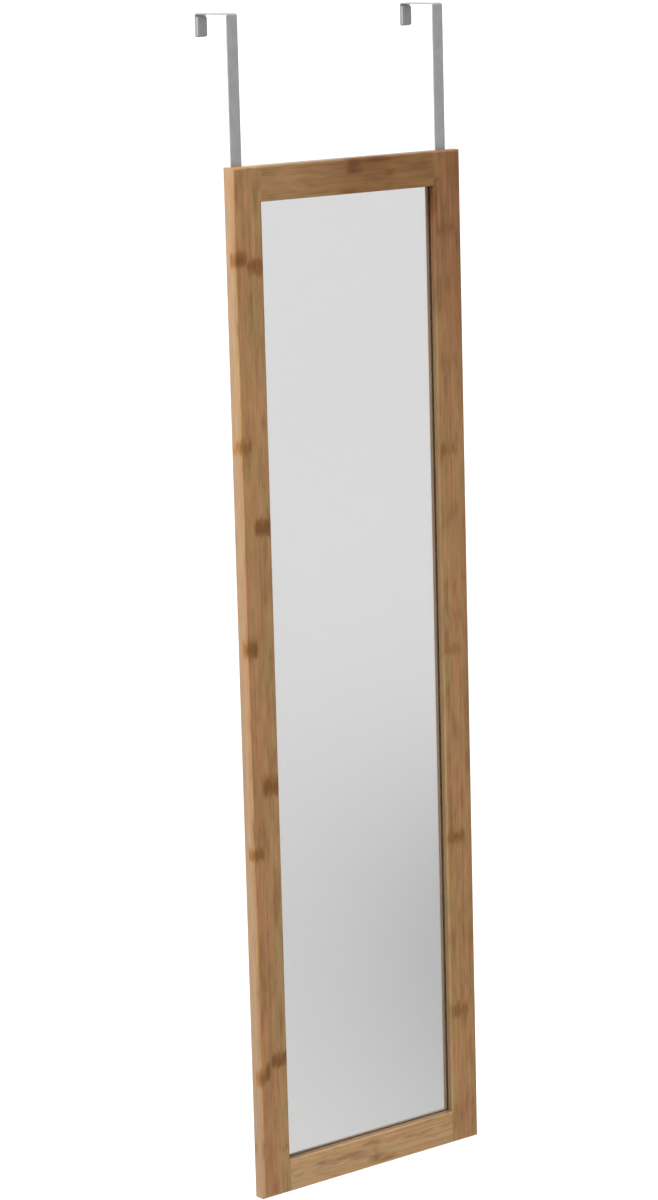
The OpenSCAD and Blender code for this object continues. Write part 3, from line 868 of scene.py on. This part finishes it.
def screw_kit():
    """Countersunk wood screws with a cross recess: the head's face is on the point, the shank runs down Z."""
    kit, given = begin_kit("countersunk_screws", (
        "Length", "Head radius", "Thread radius", "Core radius", "Pitch", "Tip length", "Recess width",
        "Recess depth",
    ))
    rod, place, angle = lathe_start(kit, given, SCREW_SIDES, SCREW_LEVELS)
    half = add(kit, "ShaderNodeMath", given["Length"], 0.5, operation="MULTIPLY")
    down = add(kit, "ShaderNodeMath", half, place["Z"], operation="SUBTRACT")
    cone = add(kit, "ShaderNodeMath", given["Head radius"], down, operation="SUBTRACT")

    # The thread is a thin ridge that winds once in a pitch. It starts under the head and runs out on the tip.
    turns = add(kit, "ShaderNodeMath", down, given["Pitch"], operation="DIVIDE")
    wound = add(kit, "ShaderNodeMath", angle, -1 / (2 * math.pi), turns, operation="MULTIPLY_ADD")
    off_ridge = add(kit, "ShaderNodeMath", wound, 0.5, operation="PINGPONG")
    ridge = add(kit, "ShaderNodeMapRange", off_ridge, RIDGE_CREST, RIDGE_FOOT, 1.0, 0.0)
    under_head = add(kit, "ShaderNodeMath", given["Head radius"], given["Core radius"], operation="SUBTRACT")
    full = add(kit, "ShaderNodeMath", under_head, given["Pitch"], operation="ADD")
    begun = add(kit, "ShaderNodeMapRange", down, under_head, full, 0.0, 1.0)
    ridge = add(kit, "ShaderNodeMath", ridge, begun, operation="MULTIPLY")
    proud = add(kit, "ShaderNodeMath", given["Thread radius"], given["Core radius"], operation="SUBTRACT")
    shank = add(kit, "ShaderNodeMath", ridge, proud, given["Core radius"], operation="MULTIPLY_ADD")
    tip = add(kit, "ShaderNodeMath", given["Length"], given["Tip length"], operation="SUBTRACT")
    sharp = add(kit, "ShaderNodeMapRange", down, tip, given["Length"], 1.0, SCREW_POINT)
    shank = add(kit, "ShaderNodeMath", shank, sharp, operation="MULTIPLY")
    radius = add(kit, "ShaderNodeMath", cone, shank, operation="MAXIMUM")
    below = add(kit, "ShaderNodeMath", down, -1.0, operation="MULTIPLY")
    screw = lathe_end(kit, rod, place, radius, below)

    # The driver's cross: two wings that narrow towards the bottom of the recess. Each is a block centred on
    # the head's face, so that its lower half is what cuts.
    deep = add(kit, "ShaderNodeMath", given["Recess depth"], 2.0, operation="MULTIPLY")
    long = add(kit, "ShaderNodeMath", given["Recess width"], WING_WIDTHS, operation="MULTIPLY")
    for wing in (
        add(kit, "ShaderNodeCombineXYZ", given["Recess width"], long, deep),
        add(kit, "ShaderNodeCombineXYZ", long, given["Recess width"], deep),
    ):
        block = add(kit, "GeometryNodeMeshCube", wing)
        where = add(kit, "GeometryNodeInputPosition")
        level = add(kit, "ShaderNodeSeparateXYZ", where).outputs["Z"]
        low = add(kit, "ShaderNodeMath", level, 0.0, operation="LESS_THAN")
        narrow = add(kit, "ShaderNodeVectorMath", where, (WING_TAPER, WING_TAPER, 1.0), operation="MULTIPLY")
        block = add(
            kit, "GeometryNodeSetPosition", named={"Geometry": block, "Selection": low, "Position": narrow}
        )
        screw = add(kit, "GeometryNodeMeshBoolean", screw, block, operation="DIFFERENCE")
    return end_kit(kit, given, screw)


def dowel_kit():
    """Fluted dowels: chamfered rods with shallow grooves along them for the glue."""
    kit, given = begin_kit("fluted_dowels", ("Length", "Radius", "Chamfer", "Flutes", "Flute depth"))
    rod, place, angle = lathe_start(kit, given, DOWEL_SIDES, DOWEL_LEVELS)
    half = add(kit, "ShaderNodeMath", given["Length"], 0.5, operation="MULTIPLY")
    height = add(kit, "ShaderNodeMath", place["Z"], operation="ABSOLUTE")
    to_end = add(kit, "ShaderNodeMath", half, height, operation="SUBTRACT")
    cut = add(kit, "ShaderNodeMath", given["Chamfer"], to_end, operation="SUBTRACT")
    cut = add(kit, "ShaderNodeMath", cut, 0.0, operation="MAXIMUM")
    radius = add(kit, "ShaderNodeMath", given["Radius"], cut, operation="SUBTRACT")
    wave = add(kit, "ShaderNodeMath", angle, given["Flutes"], operation="MULTIPLY")
    wave = add(kit, "ShaderNodeMath", wave, operation="COSINE")
    groove = add(kit, "ShaderNodeMapRange", wave, 0.0, 1.0, 0.0, given["Flute depth"])
    radius = add(kit, "ShaderNodeMath", radius, groove, operation="SUBTRACT")
    return end_kit(kit, given, lathe_end(kit, rod, place, radius, place["Z"]))


def point_kit():
    """Stamped retaining points, flat on Z 0: the tip is on the point, and the ribbed tongue runs along X."""
    kit, given = begin_kit("retaining_points", (
        "Length", "Width", "Thickness", "Tip length", "Corner", "Rib start", "Rib height",
    ))
    plate = add(kit, "GeometryNodeMeshGrid", given["Length"], given["Width"], POINT_COLUMNS, POINT_ROWS)
    place = add(kit, "ShaderNodeSeparateXYZ", add(kit, "GeometryNodeInputPosition")).outputs
    half_length = add(kit, "ShaderNodeMath", given["Length"], 0.5, operation="MULTIPLY")
    half_width = add(kit, "ShaderNodeMath", given["Width"], 0.5, operation="MULTIPLY")
    along = add(kit, "ShaderNodeMath", place["X"], half_length, operation="ADD")
    to_end = add(kit, "ShaderNodeMath", given["Length"], along, operation="SUBTRACT")
    tip = add(kit, "ShaderNodeMapRange", along, 0.0, given["Tip length"], 0.0, 1.0)
    corner = add(kit, "ShaderNodeMath", given["Corner"], to_end, operation="SUBTRACT")
    corner = add(kit, "ShaderNodeMath", corner, 0.0, operation="MAXIMUM")
    corner = add(kit, "ShaderNodeMath", corner, half_width, operation="DIVIDE")
    narrow = add(kit, "ShaderNodeMath", tip, corner, operation="SUBTRACT")
    across = add(kit, "ShaderNodeMath", place["Y"], narrow, operation="MULTIPLY")

    # The rib: a smooth swelling along the middle of the tongue.
    beside = add(kit, "ShaderNodeMath", place["Y"], operation="ABSOLUTE")
    rib_reach = add(kit, "ShaderNodeMath", half_width, RIB_SHARE, operation="MULTIPLY")
    rib = add(kit, "ShaderNodeMapRange", beside, 0.0, rib_reach, 1.0, 0.0, interpolation_type="SMOOTHSTEP")
    rib_full = add(kit, "ShaderNodeMath", given["Rib start"], given["Corner"], operation="ADD")
    rises = add(
        kit, "ShaderNodeMapRange", along, given["Rib start"], rib_full, 0.0, 1.0,
        interpolation_type="SMOOTHSTEP",
    )
    rib_end = add(kit, "ShaderNodeMath", given["Corner"], 2.0, operation="MULTIPLY")
    falls = add(
        kit, "ShaderNodeMapRange", to_end, given["Corner"], rib_end, 0.0, 1.0, interpolation_type="SMOOTHSTEP"
    )
    lift = add(kit, "ShaderNodeMath", rib, rises, operation="MULTIPLY")
    lift = add(kit, "ShaderNodeMath", lift, falls, operation="MULTIPLY")
    lift = add(kit, "ShaderNodeMath", lift, given["Rib height"], operation="MULTIPLY")
    shaped = add(kit, "ShaderNodeCombineXYZ", along, across, lift)
    sheet = add(kit, "GeometryNodeSetPosition", named={"Geometry": plate, "Position": shaped})
    sheet = add(kit, "GeometryNodeMergeByDistance", named={"Geometry": sheet, "Distance": WELD})

    # The sheet is the plate's front, and its copy a thickness further out is its back.
    up = add(kit, "ShaderNodeCombineXYZ", 0.0, 0.0, given["Thickness"])
    raised = add(
        kit, "GeometryNodeExtrudeMesh",
        named={"Mesh": sheet, "Offset": up, "Offset Scale": 1.0, "Individual": False},
    )
    front = add(kit, "GeometryNodeFlipFaces", sheet)
    both = add(kit, "GeometryNodeJoinGeometry")
    kit.links.new(raised.outputs["Mesh"], both.inputs[0])
    kit.links.new(front.outputs["Mesh"], both.inputs[0])
    closed = add(kit, "GeometryNodeMergeByDistance", named={"Geometry": both, "Distance": WELD})
    return end_kit(kit, given, closed)


def outward_turn(spin):
    """The angles that turn Z to the frame's back, after a spin about it."""
    return (-math.pi / 2, spin, 0.0)


def hook_screws(side, kit, material):
    """The two screws of a hook, with their heads flush in the strap."""
    places, angles = [], []
    for (lo, hi), turn in zip(parts_of(f"{side}_hook_screws"), SCREW_TURNS[side]):
        places.append(((lo.x + hi.x) / 2, hi.y, (lo.z + hi.z) / 2))
        angles.append(outward_turn(turn))
    sizes = {
        "Length": 10.0 * MM,
        "Head radius": 3.0 * MM,
        "Thread radius": 1.5 * MM,
        "Core radius": 1.0 * MM,
        "Pitch": 1.35 * MM,
        "Tip length": 2.5 * MM,
        "Recess width": 0.62 * MM,
        "Recess depth": 1.3 * MM,
    }
    node = f"{side}_hook_screws"
    use_kit(f"{side}_wood_screws", kit, sizes, places, angles, material, node)


def pane_points(material):
    """The points that hold the pane in: tips in the rebate's wall, and tongues on the backing."""
    places, angles = [], []
    for lo, hi in parts_of("retaining_points"):
        centre = (lo + hi) / 2
        if hi.x - lo.x > hi.z - lo.z:
            on_left = centre.x < FRAME_MIDDLE.x
            places.append((lo.x if on_left else hi.x, lo.y, centre.z))
            angles.append(outward_turn(0.0 if on_left else math.pi))
        else:
            at_foot = centre.z < FRAME_MIDDLE.z
            places.append((centre.x, lo.y, lo.z if at_foot else hi.z))
            angles.append(outward_turn(-math.pi / 2 if at_foot else math.pi / 2))
    sizes = {
        "Length": 15.0 * MM,
        "Width": 6.0 * MM,
        "Thickness": 0.4 * MM,
        "Tip length": 3.0 * MM,
        "Corner": 1.0 * MM,
        "Rib start": 6.0 * MM,
        "Rib height": 0.35 * MM,
    }
    use_kit("stamped_points", point_kit(), sizes, places, angles, material, "retaining_points")


def corner_dowels(material):
    """Two fluted dowels across each corner joint."""
    kit = dowel_kit()
    for corner in ("top_left", "top_right", "bottom_left", "bottom_right"):
        node = f"{corner}_dowels"
        boxes = parts_of(node)
        places = [(lo + hi) / 2 for lo, hi in boxes]
        angles = [(0.0, math.pi / 2, 0.0) for _ in boxes]
        lo, hi = boxes[0]
        sizes = {
            "Length": hi.x - lo.x,
            "Radius": (hi.z - lo.z) / 2,
            "Chamfer": 1.0 * MM,
            "Flutes": 14.0,
            "Flute depth": 0.3 * MM,
        }
        use_kit(f"{corner}_fluted_dowels", kit, sizes, places, angles, material, node)


pane_of_glass()
tape_foam = closed_cell_foam("pe_foam_tape_white", ("#D9D9D6", "#E6E6E4"), 0.4)
for number, box in enumerate(parts_of("mounting_tape"), 1):
    foam_block(
        f"foam_tape_{number}", box, corner=0.4 * MM, ease=0.15 * MM, crown=0.0,
        node="mounting_tape", material=tape_foam,
    )
pad_foam = closed_cell_foam("eva_foam_grey", ("#808183", "#8F9092"), 0.7)
hook_zinc = plated_steel("zinc_plated_strip", ("#A9A9AB", "#B3B3B5"), "#8F8F92", 0.38, 40.0)
screw_zinc = plated_steel("zinc_plated_screw", ("#C6C4BC", "#CFCFCB"), "#9A978E", 0.3, 2.0)
rubber = clear_bumper()
screws = screw_kit()
for side in ("left", "right"):
    strap_hook(side, hook_zinc)
    hook_screws(side, screws, screw_zinc)
    foam_block(
        f"{side}_door_pad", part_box(f"{side}_hook_pad"), corner=1.5 * MM, ease=0.5 * MM, crown=0.25 * MM,
        node=f"{side}_hook_pad", material=pad_foam,
    )
    domed_bumper(side, rubber)
pane_points(plated_steel("bright_steel_point", ("#B9B9BB", "#C4C4C6"), "#8C8C90", 0.33, 5.0))
corner_dowels(turned_beech())


# ---------------------------------------------------------------- studio and camera

FLOOR_Z = -2.0
FLOOR_RADIUS = 60.0
FLOOR_FRONT = "#D0D0D0"
FLOOR_REAR = "#FCFCFC"
# The floor is painted darker in front of the object and lighter behind it, painted shade and painted light:
# the front tone gives way to the rear one over this far in front of the object and behind it.
FLOOR_BLEND = 1.5
# Painted shade: the floor is darkest round this point, which the pane shows low down, and pales with the
# distance from it.
SHADE_MIDDLE = (4.54, -0.29, 0.0)
SHADE_CORE = 3.27
SHADE_REACH = 2.81
SHADE_FALL = -6.6
FLOOR_SHADE = "#000000"
# The room's light in front of the object, behind it, and what its ceiling adds.
ROOM_FRONT = 0.68
ROOM_BEHIND = 1.3
ROOM_OVERHEAD = 0.4
ROOM_BLEND = 0.6
LAMP_PLACE = (-1.7, -0.1, 0.7)
LAMP_AIM = (0.0, 0.0, -0.6)
LAMP_SIZE = 1.3
LAMP_WATTS = 46.0


def studio():
    """A pale floor with painted shade and light on it, a pale room that is brighter behind the object, and a
    large soft light at its left.
    """
    mesh = bmesh.new()
    bmesh.ops.create_circle(mesh, cap_ends=True, segments=128, radius=FLOOR_RADIUS)
    data = bpy.data.meshes.new("studio_floor")
    mesh.to_mesh(data)
    mesh.free()
    floor = bpy.data.objects.new("studio_floor", data)
    floor.location.z = FLOOR_Z
    bpy.context.scene.collection.objects.link(floor)
    material, tree, place = begin_finish("matt_studio_floor_painted_shade")
    # The floor's colour is painted: darker in front and round the shade's middle as painted shade, brighter
    # behind as painted light.
    rearward = add(tree, "ShaderNodeSeparateXYZ", place).outputs["Y"]
    share = add(
        tree, "ShaderNodeMapRange", rearward, -FLOOR_BLEND, FLOOR_BLEND, 0.0, 1.0,
        interpolation_type="SMOOTHSTEP",
    )
    away = add(tree, "ShaderNodeVectorMath", place, SHADE_MIDDLE, operation="DISTANCE")
    away = add(tree, "ShaderNodeMath", away, SHADE_CORE, operation="MAXIMUM")
    away = add(tree, "ShaderNodeMath", away, SHADE_REACH, operation="DIVIDE")
    shade = add(tree, "ShaderNodeMath", away, SHADE_FALL, operation="POWER")
    floor_painted_shade_and_light = add(tree, "ShaderNodeMix", shade, tone(FLOOR_FRONT), tone(FLOOR_SHADE), data_type="RGBA")
    floor_painted_shade_and_light = add(tree, "ShaderNodeMix", share, floor_painted_shade_and_light, tone(FLOOR_REAR), data_type="RGBA")
    shader = add(tree, "ShaderNodeBsdfPrincipled", named={"Base Color": floor_painted_shade_and_light, "Roughness": 0.6})
    add(tree, "ShaderNodeOutputMaterial", shader)
    data.materials.append(material)

    world = bpy.data.worlds.new("pale_room")
    bpy.context.scene.world = world
    world.use_nodes = True
    room = world.node_tree
    room.nodes.clear()
    direction = add(room, "ShaderNodeTexCoord").outputs["Generated"]
    toward = add(room, "ShaderNodeSeparateXYZ", direction).outputs
    strength = add(
        room, "ShaderNodeMapRange", toward["Y"], -ROOM_BLEND, ROOM_BLEND, ROOM_FRONT, ROOM_BEHIND
    )
    upward = add(room, "ShaderNodeMath", toward["Z"], 0.0, operation="MAXIMUM")
    strength = add(room, "ShaderNodeMath", upward, ROOM_OVERHEAD, strength, operation="MULTIPLY_ADD")
    sky = add(room, "ShaderNodeBackground", (1.0, 1.0, 1.0, 1.0), strength)
    add(room, "ShaderNodeOutputWorld", sky)

    lamp = bpy.data.lights.new("soft_box", "AREA")
    lamp.shape = "RECTANGLE"
    lamp.size = LAMP_SIZE
    lamp.size_y = LAMP_SIZE
    lamp.energy = LAMP_WATTS
    lit = bpy.data.objects.new("soft_box", lamp)
    lit.location = LAMP_PLACE
    aim = Vector(LAMP_AIM) - lit.location
    lit.rotation_euler = aim.to_track_quat("-Z", "Y").to_euler()
    lit.visible_camera = False
    bpy.context.scene.collection.objects.link(lit)


def photograph_camera():
    """The camera of the photograph, at its place and turn in the row frame."""
    back = Vector((
        math.sin(CAMERA_AZIMUTH) * math.cos(CAMERA_ELEVATION),
        -math.cos(CAMERA_AZIMUTH) * math.cos(CAMERA_ELEVATION),
        math.sin(CAMERA_ELEVATION),
    ))
    level_right = (-back).cross(Vector((0.0, 0.0, 1.0))).normalized()
    level_up = level_right.cross(-back)
    right = level_right * math.cos(CAMERA_ROLL) + level_up * math.sin(CAMERA_ROLL)
    up = level_up * math.cos(CAMERA_ROLL) - level_right * math.sin(CAMERA_ROLL)
    place = FRAME_MIDDLE - right * MIDDLE_RIGHT - up * MIDDLE_UP + back * MIDDLE_AHEAD
    lens = bpy.data.cameras.new("photograph_camera")
    lens.sensor_width = SENSOR_MM
    lens.lens = FOCAL_PX * SENSOR_MM / IMAGE_HEIGHT_PX
    lens.clip_end = 4 * FLOOR_RADIUS
    camera = bpy.data.objects.new("photograph_camera", lens)
    turn = Matrix((right, up, back)).transposed()
    camera.matrix_world = Matrix.Translation(place) @ turn.to_4x4()
    bpy.context.scene.collection.objects.link(camera)
    bpy.context.scene.camera = camera


studio()
photograph_camera()
bpy.context.scene.view_settings.view_transform = "Standard"
